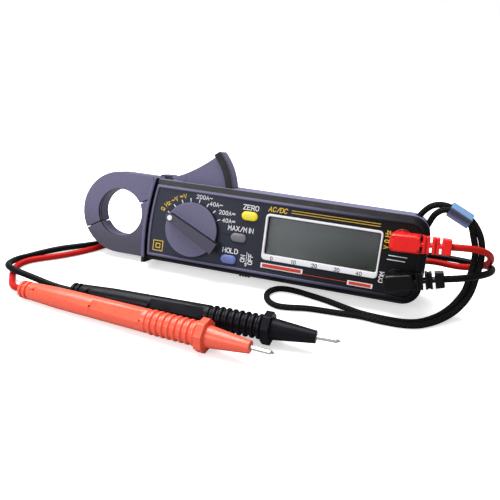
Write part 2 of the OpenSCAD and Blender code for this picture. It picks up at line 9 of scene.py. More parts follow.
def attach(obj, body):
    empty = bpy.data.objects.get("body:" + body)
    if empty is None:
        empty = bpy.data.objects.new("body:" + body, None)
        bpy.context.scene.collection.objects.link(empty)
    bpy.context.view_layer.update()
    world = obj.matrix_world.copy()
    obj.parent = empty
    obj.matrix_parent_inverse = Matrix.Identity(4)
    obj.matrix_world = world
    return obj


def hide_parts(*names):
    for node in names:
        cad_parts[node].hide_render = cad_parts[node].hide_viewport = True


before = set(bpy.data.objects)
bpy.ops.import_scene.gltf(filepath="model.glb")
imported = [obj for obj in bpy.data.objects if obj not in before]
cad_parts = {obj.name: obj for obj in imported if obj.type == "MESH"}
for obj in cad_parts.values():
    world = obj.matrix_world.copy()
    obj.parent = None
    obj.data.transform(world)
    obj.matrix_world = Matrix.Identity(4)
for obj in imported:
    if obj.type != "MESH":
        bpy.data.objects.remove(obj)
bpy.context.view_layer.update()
mm = 0.001

# The meter's own frame: X along it, Y from the panel back, Z up to the trigger side
stand = {"lean": 15, "y": -11.5, "backEdge": 24, "halfWidth": 21.5}
leanSin, leanCos = math.sin(math.radians(stand["lean"])), math.cos(math.radians(stand["lean"]))
standHeight = stand["backEdge"] * leanSin + stand["halfWidth"] * leanCos


def toRow(points):
    # meter frame in millimetres to row frame in metres
    p = np.atleast_2d(np.asarray(points, float))
    x, y, z = p.T
    return np.stack([x, stand["y"] + y * leanCos + z * leanSin,
                     standHeight - y * leanSin + z * leanCos], 1) * mm


# Camera
cameraFacts = {"place": (0.0829, -0.2890, 0.1486), "lens": 44.9, "sensor": 36,
               "right": (0.9566, 0.2870, 0.0501), "up": (-0.1617, 0.3801, 0.9107)}


def makeCamera(facts):
    data = bpy.data.cameras.new("camera")
    data.lens, data.sensor_width = facts["lens"], facts["sensor"]
    data.clip_start, data.clip_end = 0.01, 10
    camera = bpy.data.objects.new("camera", data)
    bpy.context.scene.collection.objects.link(camera)
    right = Vector(facts["right"]).normalized()
    back = right.cross(Vector(facts["up"])).normalized()
    up = back.cross(right)
    turn = Matrix((right, up, back)).transposed()
    camera.matrix_world = Matrix.Translation(facts["place"]) @ turn.to_4x4()
    bpy.context.scene.camera = camera


makeCamera(cameraFacts)
print("stage: camera")


# Shader helpers
def put(tree, kind, values=None, **settings):
    # one shader node; a value that is a socket is linked, any other is set
    made = tree.nodes.new(kind)
    for key, value in settings.items():
        setattr(made, key, value)
    for key, value in (values or {}).items():
        if isinstance(value, bpy.types.NodeSocket):
            tree.links.new(value, made.inputs[key])
        else:
            made.inputs[key].default_value = value
    return made


def rgb(color):
    return (*color, 1.0) if len(color) == 3 else color


def maths(tree, operation, a, b=0.0, c=0.0, clamp=False):
    return put(tree, "ShaderNodeMath", {0: a, 1: b, 2: c}, operation=operation,
               use_clamp=clamp).outputs[0]


def blendOf(tree, factor, a, b, kind="MIX"):
    made = put(tree, "ShaderNodeMix", {0: factor}, data_type="RGBA", blend_type=kind)
    for key, value in ((6, a), (7, b)):
        if isinstance(value, bpy.types.NodeSocket):
            tree.links.new(value, made.inputs[key])
        else:
            made.inputs[key].default_value = rgb(value)
    return made.outputs[2]


def ramp(tree, value, low, high, a=0.0, b=1.0):
    return put(tree, "ShaderNodeMapRange", {0: value, 1: low, 2: high, 3: a, 4: b},
               interpolation_type="SMOOTHSTEP").outputs[0]


def noise(tree, vector, scale, detail=2.0, roughness=0.5):
    return put(tree, "ShaderNodeTexNoise", {"Vector": vector, "Scale": scale, "Detail": detail,
                                            "Roughness": roughness}).outputs[0]


def newGroup(name, inputs, outputs):
    group = bpy.data.node_groups.new(name, "ShaderNodeTree")
    for label, kind, value in inputs:
        socket = group.interface.new_socket(label, in_out="INPUT", socket_type=kind)
        if value is not None:
            socket.default_value = value
    for label, kind in outputs:
        group.interface.new_socket(label, in_out="OUTPUT", socket_type=kind)
    return group, group.nodes.new("NodeGroupInput"), group.nodes.new("NodeGroupOutput")


skinFacts = {"coarseScale": 45, "rubbedScale": 160, "speckGain": 4.0, "toneGain": 2.0,
             "rubbedFrom": 0.5, "rubbedTo": 0.72, "rubbedGloss": -0.12, "bumpDepth": 0.00006}


def makeGrain(facts):
    # moulded skin: fine grain as bump and speckle, broad uneven tone and rubbed patches
    number = "NodeSocketFloat"
    group, given, out = newGroup(
        "mouldedSkin",
        [("Grain", number, 2400.0), ("Height", number, 0.5), ("Speckle", number, 0.1),
         ("Uneven", number, 0.08), ("Color", "NodeSocketColor", (0.5, 0.5, 0.5, 1)),
         ("Roughness", number, 0.5)],
        [("Color", "NodeSocketColor"), ("Roughness", number), ("Normal", "NodeSocketVector")])
    place = group.nodes.new("ShaderNodeTexCoord").outputs["Object"]
    fine = noise(group, place, given.outputs["Grain"], 3, 0.6)
    coarse = noise(group, place, facts["coarseScale"], 3)
    rubbed = noise(group, place, facts["rubbedScale"], 4, 0.7)
    speck = maths(group, "MULTIPLY", maths(group, "SUBTRACT", fine, 0.5), given.outputs["Speckle"])
    broad = maths(group, "MULTIPLY", maths(group, "SUBTRACT", coarse, 0.5), given.outputs["Uneven"])
    tone = maths(group, "ADD", maths(group, "MULTIPLY_ADD", speck, facts["speckGain"], 1.0),
                 maths(group, "MULTIPLY", broad, facts["toneGain"]))
    scaled = put(group, "ShaderNodeVectorMath", {0: given.outputs["Color"]}, operation="SCALE")
    group.links.new(tone, scaled.inputs["Scale"])
    group.links.new(scaled.outputs[0], out.inputs["Color"])
    worn = ramp(group, rubbed, facts["rubbedFrom"], facts["rubbedTo"], 0.0, facts["rubbedGloss"])
    group.links.new(maths(group, "ADD", given.outputs["Roughness"],
                          maths(group, "ADD", worn, broad), clamp=True), out.inputs["Roughness"])
    bump = put(group, "ShaderNodeBump", {"Strength": given.outputs["Height"],
                                         "Distance": facts["bumpDepth"], "Height": fine})
    group.links.new(bump.outputs[0], out.inputs["Normal"])
    return group


def makeZone():
    # how far a point lies along a direction: 0 before From, 1 past To
    number = "NodeSocketFloat"
    group, given, out = newGroup(
        "zoneAlong",
        [("Direction", "NodeSocketVector", (0, 1, 0)), ("From", number, 0.0), ("To", number, 1.0)],
        [("Mask", number)])
    place = group.nodes.new("ShaderNodeTexCoord").outputs["Object"]
    along = put(group, "ShaderNodeVectorMath", {0: place, 1: given.outputs["Direction"]},
                operation="DOT_PRODUCT").outputs["Value"]
    group.links.new(ramp(group, along, given.outputs["From"], given.outputs["To"]),
                    out.inputs["Mask"])
    return group


groups = {"skin": makeGrain(skinFacts), "zone": makeZone()}


def useGroup(tree, key, values):
    made = put(tree, "ShaderNodeGroup", node_tree=groups[key])
    for name, value in values.items():
        if isinstance(value, bpy.types.NodeSocket):
            tree.links.new(value, made.inputs[name])
        else:
            made.inputs[name].default_value = value
    return made.outputs


def newMaterial(name):
    made = bpy.data.materials.new(name)
    made.use_nodes = True
    tree = made.node_tree
    tree.nodes.clear()
    shader = tree.nodes.new("ShaderNodeBsdfPrincipled")
    out = tree.nodes.new("ShaderNodeOutputMaterial")
    tree.links.new(shader.outputs[0], out.inputs[0])
    return made, tree, shader


def feed(tree, shader, values):
    for name, value in values.items():
        if isinstance(value, bpy.types.NodeSocket):
            tree.links.new(value, shader.inputs[name])
        else:
            shader.inputs[name].default_value = value


def localAxis(axis):
    # a meter-frame direction in row-frame metres, for zones
    base = toRow([[0, 0, 0]])[0]
    return (toRow([axis])[0] - base) / (np.linalg.norm(axis) * mm)


def localOffset(axis, value):
    # the zone position where that meter-frame coordinate has the value, in millimetres
    return float(np.dot(localAxis(axis), toRow([np.array(axis, float) * value])[0]))


def ringShadeMask(tree, centre, inner, deepest):
    # 1 outside the inner radius round a line straight into the panel, on the cable side of that line
    # and no deeper than deepest; all in meter-frame millimetres; it places the painted shade band on
    # the lever's pad
    blur, step, sideStart, sideEnd = 0.2, 0.4, 5, 10
    place = tree.nodes.new("ShaderNodeTexCoord").outputs["Object"]
    point = toRow([[centre[0], 0, centre[1]]])[0]
    arm = put(tree, "ShaderNodeVectorMath", {0: place, 1: tuple(point)}, operation="SUBTRACT")
    swept = put(tree, "ShaderNodeVectorMath", {0: arm.outputs[0], 1: tuple(localAxis((0, 1, 0)))},
                operation="CROSS_PRODUCT")
    far = put(tree, "ShaderNodeVectorMath", {0: swept.outputs[0]}, operation="LENGTH")
    outside = ramp(tree, far.outputs["Value"], (inner - blur) * mm, (inner + blur) * mm)
    behind = useGroup(tree, "zone", {"Direction": tuple(localAxis((0, 1, 0))),
                                     "From": localOffset((0, 1, 0), deepest - step),
                                     "To": localOffset((0, 1, 0), deepest)})["Mask"]
    right = useGroup(tree, "zone", {"Direction": (1, 0, 0), "From": (centre[0] + sideStart) * mm,
                                    "To": (centre[0] + sideEnd) * mm})["Mask"]
    front = maths(tree, "MULTIPLY", right, maths(tree, "SUBTRACT", 1.0, behind))
    return maths(tree, "MULTIPLY", outside, front)


def plastic(name, color, roughness=0.5, grain=2400, height=0.5, speckle=0.1, uneven=0.08,
            coat=0.0, soft=0.0, gloss=0.5, zones=(), ring=None):
    # zones is a list of (axis, from, to, colour): each colour takes over along its axis
    made, tree, shader = newMaterial(name)
    tint = put(tree, "ShaderNodeRGB").outputs[0]
    tint.default_value = rgb(color)
    for axis, start, end, other in zones:
        mask = useGroup(tree, "zone", {"Direction": tuple(localAxis(axis)),
                                       "From": localOffset(axis, start),
                                       "To": localOffset(axis, end)})["Mask"]
        tint = blendOf(tree, mask, tint, other)
    # painted shade: a dark band over the ring mask
    if ring:
        tint = blendOf(tree, ringShadeMask(tree, *ring[:3]), tint, ring[3])
    skin = useGroup(tree, "skin", {"Grain": grain, "Height": height, "Speckle": speckle,
                                   "Uneven": uneven, "Color": tint, "Roughness": roughness})
    feed(tree, shader, {"Base Color": skin["Color"], "Roughness": skin["Roughness"],
                        "Normal": skin["Normal"], "Coat Weight": coat, "Coat Roughness": 0.15,
                        "Specular IOR Level": gloss, "IOR": 1.47})
    if soft:
        feed(tree, shader, {"Subsurface Weight": soft, "Subsurface Scale": 0.002})
    return made


def metal(name, color, roughness=0.25, along=(1, 0, 0), streak=0.1):
    # drawn or turned metal: streaks stretched along one direction
    made, tree, shader = newMaterial(name)
    place = tree.nodes.new("ShaderNodeTexCoord").outputs["Object"]
    stretch = tuple(250 if abs(a) > 0.5 else 5000 for a in along)
    drawn = put(tree, "ShaderNodeVectorMath", {0: place, 1: stretch}, operation="MULTIPLY")
    lines = noise(tree, drawn.outputs[0], 1.0, 4, 0.6)
    blot = noise(tree, place, 300, 3)
    feed(tree, shader, {
        "Base Color": blendOf(tree, maths(tree, "MULTIPLY", blot, 0.5), color,
                              tuple(0.7 * c for c in color)),
        "Metallic": 1.0,
        "Roughness": maths(tree, "MULTIPLY_ADD", lines, streak * 2, roughness - streak),
        "Normal": put(tree, "ShaderNodeBump", {"Strength": 0.15, "Distance": 0.00002,
                                               "Height": lines}).outputs[0]})
    return made


def clearPlastic(name, color):
    made, tree, shader = newMaterial(name)
    place = tree.nodes.new("ShaderNodeTexCoord").outputs["Object"]
    wipe = noise(tree, place, 90, 5, 0.65)
    feed(tree, shader, {"Base Color": rgb(color), "Transmission Weight": 1.0, "IOR": 1.12,
                        "Roughness": ramp(tree, wipe, 0.35, 0.8, 0.05, 0.16)})
    return made


# painted light and shade on the display: lighter at the left and towards the top, dark along the
# frame's left and top edges
displayFacts = {
    "left": (0.175, 0.185, 0.190), "right": (0.020, 0.023, 0.016), "high": (0.36, 0.38, 0.42),
    "speck": (0.03, 0.035, 0.03), "shade": (0.006, 0.007, 0.006),
    "across": (12, 75), "up": (-10, 14), "paintedLightShare": 0.4, "speckShare": 0.16,
    "edges": (((1, 0, 0), 14.1, 14.9), ((0, 0, -1), -11.1, -10.2)),
}


def displayGlass(name, facts):
    # blank liquid crystal: fine cell texture, painted light making it lighter towards the upper left,
    # and painted shade from the frame along its left and top edges
    made, tree, shader = newMaterial(name)
    place = tree.nodes.new("ShaderNodeTexCoord").outputs["Object"]
    rightward = useGroup(tree, "zone", {"Direction": (1, 0, 0), "From": facts["across"][0] * mm,
                                        "To": facts["across"][1] * mm})["Mask"]
    upward = useGroup(tree, "zone", {"Direction": tuple(localAxis((0, 0, 1))),
                                     "From": localOffset((0, 0, 1), facts["up"][0]),
                                     "To": localOffset((0, 0, 1), facts["up"][1])})["Mask"]
    tone = blendOf(tree, rightward, facts["left"], facts["right"])
    tone = blendOf(tree, maths(tree, "MULTIPLY", upward, facts["paintedLightShare"]), tone, facts["high"])
    grain = noise(tree, place, 1900, 2)
    speck = ramp(tree, grain, 0.3, 0.75, 0.0, facts["speckShare"])
    tone = blendOf(tree, speck, tone, facts["speck"])
    for axis, edge, inside in facts["edges"]:
        lit = useGroup(tree, "zone", {"Direction": tuple(localAxis(axis)),
                                      "From": localOffset(axis, edge),
                                      "To": localOffset(axis, inside)})["Mask"]
        tone = blendOf(tree, lit, facts["shade"], tone)
    feed(tree, shader, {"Base Color": tone, "Roughness": 0.42, "Specular IOR Level": 0.2})
    return made


def braid(name, color, around, along):
    # woven cord on the tube's own UV map: two crossing families of strands, sin(u + v) and
    # sin(u - v), the higher of the two as relief
    made, tree, shader = newMaterial(name)
    split = put(tree, "ShaderNodeSeparateXYZ",
                {0: put(tree, "ShaderNodeUVMap", uv_map="tube").outputs[0]})
    u = maths(tree, "MULTIPLY", split.outputs[0], around * math.tau)
    v = maths(tree, "MULTIPLY", split.outputs[1], along * math.tau)
    one = maths(tree, "SINE", maths(tree, "ADD", u, v))
    two = maths(tree, "SINE", maths(tree, "SUBTRACT", u, v))
    over = maths(tree, "MAXIMUM", one, two)
    cross = maths(tree, "MULTIPLY", one, two)
    place = tree.nodes.new("ShaderNodeTexCoord").outputs["Object"]
    fuzz = noise(tree, place, 6000, 2)
    height = maths(tree, "MULTIPLY_ADD", fuzz, 0.35, over)
    # painted highlight: lighter specks where the two strand families cross
    tone = blendOf(tree, ramp(tree, cross, 0.35, 0.95), color, tuple(4 * c + 0.01 for c in color))
    feed(tree, shader, {
        "Base Color": tone, "Roughness": 0.75, "Specular IOR Level": 0.15,
        "Normal": put(tree, "ShaderNodeBump", {"Strength": 0.9, "Distance": 0.00025,
                                               "Height": height}).outputs[0]})
    return made


# painted shade: apart from plum, these colours stand for shade on edges and walls, lower parts, the
# chamfer round the panel and the underside
plum, plumShade, plumLowShade = (0.150, 0.143, 0.240), (0.012, 0.012, 0.016), (0.075, 0.070, 0.100)
chamferShade, underShadeGrey = (0.005, 0.005, 0.006), (0.024, 0.024, 0.030)


edgeShadeFacts = {"line": (0.02, 0.22), "fade": (0.9, 1.5)}


def edgeShadeLine(depth, color, base):
    # painted shade: a dark line where a face at that depth rounds off, fading back to the base behind
    # it
    return [((0, 1, 0), *(depth + span for span in edgeShadeFacts["line"]), color),
            ((0, 1, 0), *(depth + span for span in edgeShadeFacts["fade"]), base)]


dialPlum, barPlum = (0.150, 0.146, 0.240), (0.078, 0.076, 0.112)
look = {
    # painted shade: the casing darkens towards the cable side, goes near black in the chamfer round
    # the panel and darker grey on the underside
    "casing": plastic("casing", plum, 0.5, 2300, 0.55, 0.12, 0.06, gloss=0.12,
                      zones=[((1, 0, 0), 5, 85, plumShade), ((0, 1, 0), 0.15, 0.7, chamferShade),
                             ((0, 1, 0), 2.9, 3.5, plum), ((0, 0, -1), 19.9, 20.5, underShadeGrey)]),
    "casingBack": plastic("casingBack", (0.145, 0.138, 0.235), 0.5, 2300, 0.55, 0.12, 0.06,
                          gloss=0.2),
    # painted shade on the jaw and lever: darker towards their lower side, dark lines along their
    # rounded edges and, on the lever, a dark band over the pad
    "jaw": plastic("jaw", plum, 0.55, 2100, 0.6, 0.16, 0.06, gloss=0.3,
                   zones=[((0, 0, -1), -12, 20, plumLowShade)] + edgeShadeLine(8, plumShade, plum)),
    "lever": plastic("lever", plum, 0.55, 2100, 0.6, 0.16, 0.06, gloss=0.3,
                     zones=[((0, 0, -1), -8, 24, plumLowShade)] + edgeShadeLine(8, plumShade, plum)
                     + edgeShadeLine(10, plumShade, plum),
                     ring=((-42, 16), 30.6, 8.2, (0.016, 0.016, 0.021))),
    # painted shade: the panel darkens towards the cable side
    "panel": plastic("panel", (0.034, 0.040, 0.062), 0.42, 2600, 0.25, 0.08, 0.06, gloss=0.2,
                     zones=[((1, 0, 0), -35, 75, (0.004, 0.005, 0.006))]),
    "dial": plastic("dial", barPlum, 0.5, 2300, 0.5, 0.12, 0.05, gloss=0.25,
                    zones=[((0, 1, 0), -6.3, -6.05, plumShade), ((0, 1, 0), -2.5, -2.1, dialPlum),
                           ((0, 1, 0), -1.9, -1.6, plumShade)]),
    "white": plastic("white", (0.86, 0.86, 0.90), 0.4, 2600, 0.1, 0.02, 0.03),
    "whiteInk": plastic("whiteInk", (0.88, 0.88, 0.92), 0.5, 2600, 0.1, 0.03, 0.03),
    "yellowInk": plastic("yellowInk", (0.80, 0.52, 0.03), 0.5, 2600, 0.1, 0.03, 0.03),
    "blackInk": plastic("blackInk", (0.03, 0.03, 0.05), 0.5, 2600, 0.1, 0.03, 0.03),
    "redInk": plastic("redInk", (0.62, 0.04, 0.02), 0.5, 2600, 0.1, 0.03, 0.03),
    "window": clearPlastic("window", (0.93, 0.95, 0.94)),
    "lcd": displayGlass("lcd", displayFacts),
    "natural": plastic("natural", (0.6, 0.6, 0.55), 0.5),
    "board": plastic("board", (0.02, 0.14, 0.06), 0.35, 1500, 0.2, 0.1, 0.1),
    "rubberMat": plastic("rubberMat", (0.25, 0.25, 0.25), 0.8),
    "black": plastic("black", (0.006, 0.006, 0.007), 0.42, 2400, 0.3, 0.1, gloss=0.3),
    "cell": plastic("cell", (0.05, 0.16, 0.08), 0.3, 900, 0.1, 0.05, 0.1, coat=0.4),
    "steel": metal("steel", (0.62, 0.61, 0.59), 0.24),
    "steelAcross": metal("steelAcross", (0.6, 0.6, 0.6), 0.3, (0, 1, 0)),
    "brass": metal("brass", (0.75, 0.5, 0.2), 0.3, (0, 1, 0)),
    "ferrite": plastic("ferrite", (0.11, 0.1, 0.095), 0.6, 1200, 0.5, 0.3, 0.1),
    "keyYellow": plastic("keyYellow", (0.92, 0.76, 0.05), 0.38, 2200, 0.15, 0.03, 0.04, soft=0.1),
    "keyGrey": plastic("keyGrey", (0.17, 0.165, 0.20), 0.42, 2200, 0.2, 0.06, 0.05),
    "keyBlue": plastic("keyBlue", (0.14, 0.18, 0.46), 0.4, 2200, 0.2, 0.05, 0.05),
    "plugRed": plastic("plugRed", (0.80, 0.010, 0.008), 0.30, 1500, 0.12, 0.03, 0.05, coat=0.1,
                       soft=0.05, gloss=0.4),
    "socketRed": plastic("socketRed", (0.25, 0.02, 0.015), 0.3, 1500, 0.1, 0.03),
    "leadRed": plastic("leadRed", (0.46, 0.008, 0.006), 0.45, 1300, 0.15, 0.05, 0.1, gloss=0.12),
    "probeRed": plastic("probeRed", (0.90, 0.110, 0.055), 0.33, 1500, 0.2, 0.05, 0.05, coat=0.1,
                        soft=0.06),
    "plugBlack": plastic("plugBlack", (0.003, 0.003, 0.0035), 0.24, 1500, 0.12, 0.1, gloss=0.2),
    "leadBlack": plastic("leadBlack", (0.003, 0.003, 0.004), 0.42, 1300, 0.15, 0.1, 0.1,
                         gloss=0.1),
    "probeBlack": plastic("probeBlack", (0.004, 0.004, 0.007), 0.38, 1500, 0.2, 0.1, 0.06,
                          gloss=0.14),
    # painted shade and light: dark navy in front, the lit blue further back on top
    "sliderBlue": plastic("sliderBlue", (0.03, 0.05, 0.09), 0.3, 1800, 0.1, 0.04, 0.05, coat=0.1,
                          zones=[((0, 1, 0), 1.2, 2.6, (0.15, 0.29, 0.53))]),
    "braid": braid("braid", (0.003, 0.003, 0.0035), 5, 5),
}
print("stage: materials")


# Mesh helpers
def link(name, mesh, body, material):
    made = bpy.data.objects.new(name, mesh)
    bpy.context.scene.collection.objects.link(made)
    mesh.materials.clear()
    mesh.materials.append(look[material])
    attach(made, body)
    return made


def meshOf(name, points, faces, smooth=False):
    # outward faces come from one recalculation
    mesh = bpy.data.meshes.new(name)
    mesh.from_pydata(np.asarray(points, float).tolist(), [], faces)
    work = bmesh.new()
    work.from_mesh(mesh)
    bmesh.ops.recalc_face_normals(work, faces=work.faces)
    work.to_mesh(mesh)
    work.free()
    mesh.polygons.foreach_set("use_smooth", np.full(len(mesh.polygons), smooth))
    return mesh


def catmull(points, steps):
    # uniform Catmull-Rom: 0.5 (2b + (c-a)t + (2a-5b+4c-d)t^2 + (3b-a-3c+d)t^3)
    p = np.asarray(points, float)
    a = np.vstack([2 * p[0] - p[1], p[:-2]])
    b, c = p[:-1], p[1:]
    d = np.vstack([p[2:], 2 * p[-1] - p[-2]])
    t = (np.arange(steps) / steps)[None, :, None]
    a, b, c, d = (q[:, None, :] for q in (a, b, c, d))
    curve = 0.5 * (2 * b + (c - a) * t + (2 * a - 5 * b + 4 * c - d) * t ** 2
                   + (3 * b - a - 3 * c + d) * t ** 3)
    return np.vstack([curve.reshape(-1, 3), p[-1]])


def evenly(path, step):
    # the same line with points one step apart
    far = np.r_[0, np.cumsum(np.linalg.norm(np.diff(path, axis=0), axis=1))]
    at = np.linspace(0, far[-1], int(far[-1] / step) + 1)
    return np.stack([np.interp(at, far, path[:, k]) for k in range(3)], 1)


def smoothed(path, rounds):
    # (1 2 1)/4 weights, ends kept
    p = path.copy()
    for _ in range(rounds):
        p[1:-1] = (p[:-2] + 2 * p[1:-1] + p[2:]) / 4
    return p


def tube(name, path, radius, sides, uvScale):
    # a circle of the radius across each point of the path, on a side direction carried along it;
    # UV u goes round, v is metres along times uvScale
    p = np.asarray(path, float)
    t = np.gradient(p, axis=0)
    t /= np.linalg.norm(t, axis=1)[:, None]
    side = np.zeros_like(p)
    side[0] = np.cross(t[0], (0.3, 0.2, 1))
    for i in range(1, len(p)):
        side[i] = side[i - 1] - np.dot(side[i - 1], t[i]) * t[i]
    side /= np.linalg.norm(side, axis=1)[:, None]
    lift = np.cross(t, side)
    a = np.arange(sides) / sides * math.tau
    rings = (p[:, None] + radius * (np.cos(a)[None, :, None] * side[:, None]
                                    + np.sin(a)[None, :, None] * lift[:, None]))
    n = len(p)
    i, j = np.meshgrid(np.arange(n - 1), np.arange(sides), indexing="ij")
    k = (j + 1) % sides
    quads = np.stack([i * sides + j, i * sides + k, (i + 1) * sides + k, (i + 1) * sides + j], -1)
    faces = quads.reshape(-1, 4).tolist()
    faces += [list(range(sides))[::-1], [(n - 1) * sides + s for s in range(sides)]]
    mesh = bpy.data.meshes.new(name)
    mesh.from_pydata(rings.reshape(-1, 3).tolist(), [], faces)
    far = np.r_[0, np.cumsum(np.linalg.norm(np.diff(p, axis=0), axis=1))] * uvScale
    u = np.stack([j, j + 1, j + 1, j], -1).reshape(-1) / sides
    v = far[np.stack([i, i, i + 1, i + 1], -1).reshape(-1)]
    uv = np.zeros((len(mesh.loops), 2), np.float32)
    uv[:len(u)] = np.stack([u, v], 1)
    mesh.uv_layers.new(name="tube").data.foreach_set("uv", uv.ravel())
    mesh.polygons.foreach_set("use_smooth", np.full(len(mesh.polygons), True))
    return mesh


# Test leads: routes in row-frame millimetres, with the unseen length coiled behind
leadFacts = {
    "diameter": 3.2, "coilRadius": 19, "turns": 5, "sides": 20,
    "redCoil": (-6, 68.5), "blackCoil": (44, 68.5), "coilSteps": 64, "stepOver": 0.10,
    "curveSteps": 8, "routeTrim": 6, "coilTrim": 4, "spacing": 1.2, "rounds": 6,
    "redLength": 0.97, "blackLength": 1.05,
}
redOut = [(97.5, -15.8, 39), (101.5, -15.8, 39.2), (106, -15.5, 39.5), (111, -14.1, 39.2),
          (117, -10.3, 37), (120.3, -4.5, 32.4), (120.6, 2, 26.8), (117.4, 8, 21.8),
          (111.2, 13.3, 18), (105, 17.1, 16.2), (98, 20.5, 15.2), (90.5, 24, 13),
          (82, 28.5, 9.2), (71, 34.5, 5), (58, 39, 2.4), (42, 41.3, 1.6), (24, 42.7, 1.6),
          (9, 45.5, 1.6), (-5, 47.9, 1.6)]
redIn = [(-7, 47.9, 8), (-20, 48.7, 6), (-32, 46.5, 3.4), (-43, 41, 1.7), (-54, 31.5, 1.6),
         (-64, 20, 1.6), (-73, 11, 1.6), (-80, 4.5, 1.6), (-84.3, -4.1, 1.6), (-90, -12.9, 1.6),
         (-97, -21.1, 1.6), (-104, -27.7, 1.6), (-109.2, -33.1, 1.6), (-111, -39.5, 1.6),
         (-109, -46.5, 1.6), (-104.6, -53.5, 1.7), (-99.6, -60.5, 2.4), (-94.6, -64.5, 3.6),
         (-90.4, -65.4, 4.2), (-85.4, -66, 4.3)]
blackOut = [(97, -19.9, 23.9), (100.8, -19.6, 24.8), (106, -19.3, 25.8), (111, -17.7, 26.6),
            (116.4, -14.1, 27), (120.8, -8.8, 26.8), (122.2, -2.6, 25.9), (122.2, 4.2, 23.9),
            (120.2, 10.9, 21.6), (113.8, 16.3, 19.8), (105.5, 20.8, 18.3), (98, 24.4, 16.6),
            (91.6, 28.8, 14.9), (86.6, 35.2, 12.8), (82.5, 45.2, 10), (79, 57.2, 7.2),
            (73.5, 71.5, 4.6), (64.5, 83.5, 2.8), (54.5, 88.3, 1.8), (43, 89.1, 1.6)]
blackIn = [(45, 89.1, 8), (32, 90.1, 6.4), (18, 92.9, 3.4), (4, 94.5, 1.6), (-14, 93, 1.6),
           (-32, 85.5, 1.6), (-46, 70.5, 1.6), (-54, 51.5, 1.6), (-62, 33.5, 1.6),
           (-71, 19, 1.6), (-80, 9, 1.6), (-88.1, -0.1, 1.6), (-95, -6.5, 1.6),
           (-101.5, -12.3, 1.6), (-107.2, -19.5, 1.6), (-112, -27.5, 1.6), (-115.1, -35, 2.2),
           (-111.7, -46.9, 4.8), (-104.8, -51.4, 5.3), (-97, -53, 4.9), (-88.8, -54.9, 4.6),
           (-81.5, -56.7, 4.4), (-74.2, -58, 4.3), (-67.3, -58.4, 4.3), (-62.3, -58.6, 4.4)]


def coilLine(centre, startAngle, turnSign, facts):
    # five turns in a bundle two wide and three high, on a circle whose radius and height step
    # over to the next place where one turn meets the next
    d = facts["diameter"]
    out = np.array([0.5, -0.5, -0.5, 0.5, 0.5]) * d
    high = np.array([0.5, 0.5, 1.5, 1.5, 2.5]) * d
    s = np.linspace(0, facts["turns"], facts["turns"] * facts["coilSteps"] + 1)
    over = facts["stepOver"]
    knots = np.concatenate([[k + over, k + 1 - over] for k in range(facts["turns"])])
    r = facts["coilRadius"] + np.interp(s, knots, np.repeat(out, 2))
    z = np.interp(s, knots, np.repeat(high, 2))
    angle = math.radians(startAngle) + turnSign * math.tau * s
    return np.stack([centre[0] + r * np.cos(angle), centre[1] + r * np.sin(angle), z], 1)


def makeLead(name, outward, coil, inward, material, nodes):
    # the two routes and the coil as one line; the joins are trimmed and then smoothed over
    route, trim = leadFacts["routeTrim"], leadFacts["coilTrim"]
    start, end = (catmull(points, leadFacts["curveSteps"]) for points in (outward, inward))
    line = np.vstack([start[:-route], coil[trim:-trim], end[route:]])
    line = smoothed(evenly(line, leadFacts["spacing"]), leadFacts["rounds"])
    line[:, 2] = np.maximum(line[:, 2], leadFacts["diameter"] / 2)
    line *= mm
    made = link(name, tube(name, line, leadFacts["diameter"] / 2 * mm, leadFacts["sides"], 1.0),
                "meter", material)
    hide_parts(*nodes)
    long = np.linalg.norm(np.diff(line, axis=0), axis=1).sum()
    print(f"{name}: {long:.3f} m")
    return made


redLead = makeLead(
    "redLead", redOut, coilLine(leadFacts["redCoil"], -90, -1, leadFacts), redIn, "leadRed",
    ["red_lead_out", "red_coil", "red_lead_in"])
blackLead = makeLead(
    "blackLead", blackOut, coilLine(leadFacts["blackCoil"], 90, 1, leadFacts), blackIn, "leadBlack",
    ["black_lead_out", "black_coil", "black_lead_in"])

# Wrist strap: one braided cord, folded double through the slider
strapFacts = {"diameter": 3.0, "gap": 1.5, "slider": (103.5, -0.1, 49.4),
              "run": (0.905, -0.08, -0.42), "reach": 6, "sides": 20, "uvScale": 100,
              "length": 0.36, "floorTop": 2, "rise": 12, "archTop": 47, "fall": 6, "least": 0.15,
              "holeIn": [(83.7, 11, 19), (85.2, 11, 20.5)],
              "holeOut": [(89.8, 11, 16.5), (88.3, 11, 15)],
              "curveSteps": 8, "spacing": 1.0, "rounds": 4}
strapMiddle = [(112.4, -0.9, 41), (114.6, -0.7, 34.5), (115.2, -1.1, 28), (114.6, -2.1, 20.5),
               (113.4, -3.9, 12.5), (109.4, -7.5, 6), (104.3, -12.7, 2.8), (98.6, -18.5, 1.7),
               (92.5, -23.3, 1.5), (85.5, -25.5, 1.5), (76, -25.7, 1.5), (66, -24.7, 1.5)]
strapLoop = [(58, -26.9, 1.5), (50, -27.4, 1.5), (40.5, -28.3, 1.5), (32, -30.7, 1.5),
             (25.6, -30.9, 1.5), (20.6, -26.5, 1.5), (19.2, -19.5, 1.5), (23.2, -13.5, 1.5),
             (31, -12.7, 1.5), (40, -14.7, 1.5), (49, -17.1, 1.5), (58, -20.5, 1.5)]
strapUp = [(87.4, 4.4, 47.6), (90.4, 3.3, 50.9), (93.8, 2.4, 52.4)]
strapDown = [(94.8, -0.6, 50.6), (92.4, 1, 47.8), (91, 2.9, 44)]


